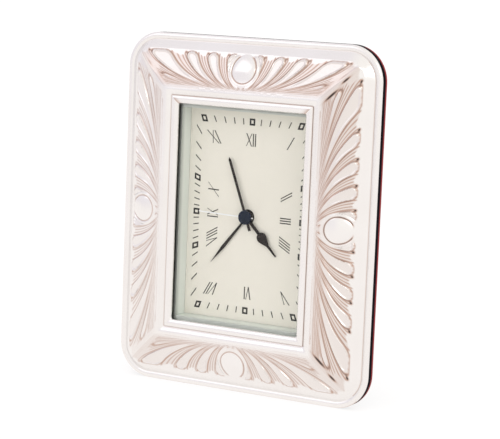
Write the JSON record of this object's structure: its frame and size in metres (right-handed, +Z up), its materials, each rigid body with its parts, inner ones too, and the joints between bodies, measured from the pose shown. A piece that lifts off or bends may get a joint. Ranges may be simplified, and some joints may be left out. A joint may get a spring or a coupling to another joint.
{
  "type": "photo frame clock",
  "caption": "Free-standing clock in an embossed silver photo frame: glazed dial with four hands, alarm movement behind, hinged strut.",
  "frame": {"origin": "middle of the flat on the board's lower edge, where the clock rests on the table", "axes": "+Z up from the table, +Y from the dial to the rear, +X to the viewer's right; the panel leans back 5 degrees"},
  "size_m": [0.12, 0.0427, 0.1494],
  "materials": {
    "silver": "polished silver laminate, embossed",
    "core": "cast resin filling",
    "lacquered_wood": "dark mahogany lacquer",
    "glass": "clear float glass, faint green edge",
    "tray_white": "off-white moulded plastic",
    "dial_cream": "cream satin paint",
    "dial_ink": "black dial ink",
    "hand_black": "black lacquer",
    "hand_white": "white lacquer",
    "cap_navy": "navy gloss",
    "case_black": "fine textured black plastic",
    "case_grey": "dark grey plastic",
    "wheel_plastic": "natural acetal",
    "brass": "satin brass",
    "steel": "plain steel",
    "copper_winding": "enamelled copper wire",
    "circuit_green": "solder mask",
    "cell_wrap": "plain cell jacket",
    "magnet": "plastic-bonded magnet and pinion"
  },
  "bodies": {
    "clock": {"silver_front": "silver", "frame_core": "core", "back_board": "lacquered_wood", "window_glass": "glass", "clock_tray": "tray_white", "dial_plate": "dial_cream", "dial_squares": "dial_ink", "dial_ticks": "dial_ink", "dial_numerals": "dial_ink", "movement_base": "case_black", "movement_cover": "case_black", "train_bridge": "case_grey", "bridge_screws": "steel", "case_screws": "steel", "stator": "steel", "coil": "copper_winding", "circuit_board": "circuit_green", "quartz_crystal": "steel", "sounder_disc": "brass", "battery": "cell_wrap", "plus_contact": "steel", "minus_contact": "steel", "hinge_board_leaf": "brass", "hinge_pin": "steel", "hinge_board_screws": "brass", "clip_screws": "steel"},
    "minute": {"minute_hand": "hand_black", "cannon_pinion": "brass"},
    "hour": {"hour_hand": "hand_black", "hour_wheel": "wheel_plastic"},
    "second": {"second_hand": "hand_white", "hub_cap": "cap_navy", "seconds_wheel": "wheel_plastic"},
    "alarm": {"alarm_hand": "hand_black", "alarm_wheel": "wheel_plastic"},
    "motion_work": {"motion_wheel": "wheel_plastic"},
    "centre": {"centre_wheel": "wheel_plastic"},
    "third": {"third_wheel": "wheel_plastic"},
    "intermediate": {"intermediate_wheel": "wheel_plastic"},
    "rotor": {"rotor": "magnet"},
    "time_setter": {"time_knob": "case_grey", "time_knob_shaft": "case_grey"},
    "alarm_setter": {"alarm_knob": "case_grey", "alarm_knob_shaft": "case_grey"},
    "switch": {"alarm_switch": "case_grey"},
    "door": {"battery_door": "case_black"},
    "strut": {"strut": "lacquered_wood", "hinge_strut_leaf": "brass", "hinge_strut_screws": "brass"},
    "clip_top_right": {"clip_top_right": "brass"},
    "clip_top_left": {"clip_top_left": "brass"},
    "clip_bottom_left": {"clip_bottom_left": "brass"},
    "clip_bottom_right": {"clip_bottom_right": "brass"}
  },
  "joints": [
    {"name": "minute_turn", "type": "hinge", "parent": "clock", "child": "minute", "pos_m": [0, 0.00932, 0.07428], "axis": [0, 0.9962, -0.0872], "continuous": true},
    {"name": "hour_turn", "type": "hinge", "parent": "clock", "child": "hour", "pos_m": [0, 0.00932, 0.07428], "axis": [0, 0.9962, -0.0872], "continuous": true},
    {"name": "motion_wheel_turn", "type": "hinge", "parent": "clock", "child": "motion_work", "pos_m": [0.00789, 0.00957, 0.07714], "axis": [0, 0.9962, -0.0872], "continuous": true},
    {"name": "time_knob_turn", "type": "hinge", "parent": "clock", "child": "time_setter", "pos_m": [0.01209, 0.0102, 0.08439], "axis": [0, 0.9962, -0.0872], "continuous": true},
    {"name": "second_turn", "type": "hinge", "parent": "clock", "child": "second", "pos_m": [0, 0.00932, 0.07428], "axis": [0, 0.9962, -0.0872], "continuous": true},
    {"name": "centre_wheel_turn", "type": "hinge", "parent": "clock", "child": "centre", "pos_m": [0, 0.00932, 0.07428], "axis": [0, 0.9962, -0.0872], "continuous": true},
    {"name": "third_wheel_turn", "type": "hinge", "parent": "clock", "child": "third", "pos_m": [-0.0081, 0.00932, 0.07428], "axis": [0, 0.9962, -0.0872], "continuous": true},
    {"name": "intermediate_wheel_turn", "type": "hinge", "parent": "clock", "child": "intermediate", "pos_m": [0.0054, 0.00876, 0.06787], "axis": [0, 0.9962, -0.0872], "continuous": true},
    {"name": "rotor_turn", "type": "hinge", "parent": "clock", "child": "rotor", "pos_m": [0.01068, 0.00876, 0.06787], "axis": [0, 0.9962, -0.0872], "continuous": true},
    {"name": "alarm_turn", "type": "hinge", "parent": "clock", "child": "alarm", "pos_m": [0, 0.00932, 0.07428], "axis": [0, 0.9962, -0.0872], "continuous": true},
    {"name": "alarm_knob_turn", "type": "hinge", "parent": "clock", "child": "alarm_setter", "pos_m": [-0.00308, 0.01005, 0.0827], "axis": [0, 0.9962, -0.0872], "continuous": true},
    {"name": "alarm_switch_slide", "type": "slide", "parent": "clock", "child": "switch", "axis": [1, 0, 0], "range_m": [0, 0.0035]},
    {"name": "battery_door_slide", "type": "slide", "parent": "clock", "child": "door", "axis": [0, -0.0872, -0.9962], "range_m": [0, 0.016]},
    {"name": "strut_fold", "type": "hinge", "parent": "clock", "child": "strut", "pos_m": [0, 0.0159, 0.12891], "axis": [-1, 0, 0], "range_deg": [0, 10.5]},
    {"name": "clip_top_right_turn", "type": "hinge", "parent": "clock", "child": "clip_top_right", "pos_m": [0.0419, 0.01168, 0.1082], "axis": [0, -0.9962, 0.0872], "range_deg": [0, 90]},
    {"name": "clip_top_left_turn", "type": "hinge", "parent": "clock", "child": "clip_top_left", "pos_m": [-0.0419, 0.01168, 0.1082], "axis": [0, 0.9962, -0.0872], "range_deg": [0, 90]},
    {"name": "clip_bottom_left_turn", "type": "hinge", "parent": "clock", "child": "clip_bottom_left", "pos_m": [-0.0419, 0.00576, 0.04046], "axis": [0, -0.9962, 0.0872], "range_deg": [0, 90]},
    {"name": "clip_bottom_right_turn", "type": "hinge", "parent": "clock", "child": "clip_bottom_right", "pos_m": [0.0419, 0.00576, 0.04046], "axis": [0, 0.9962, -0.0872], "range_deg": [0, 90]}
  ],
  "couplings": [
    {"joint": "motion_wheel_turn", "follows": "minute_turn", "ratio": -0.33333},
    {"joint": "hour_turn", "follows": "minute_turn", "ratio": 0.083333},
    {"joint": "time_knob_turn", "follows": "minute_turn", "ratio": 1},
    {"joint": "third_wheel_turn", "follows": "second_turn", "ratio": -0.13333},
    {"joint": "centre_wheel_turn", "follows": "second_turn", "ratio": 0.016667},
    {"joint": "intermediate_wheel_turn", "follows": "second_turn", "ratio": -6},
    {"joint": "rotor_turn", "follows": "second_turn", "ratio": 30},
    {"joint": "alarm_knob_turn", "follows": "alarm_turn", "ratio": -4}
  ]
}
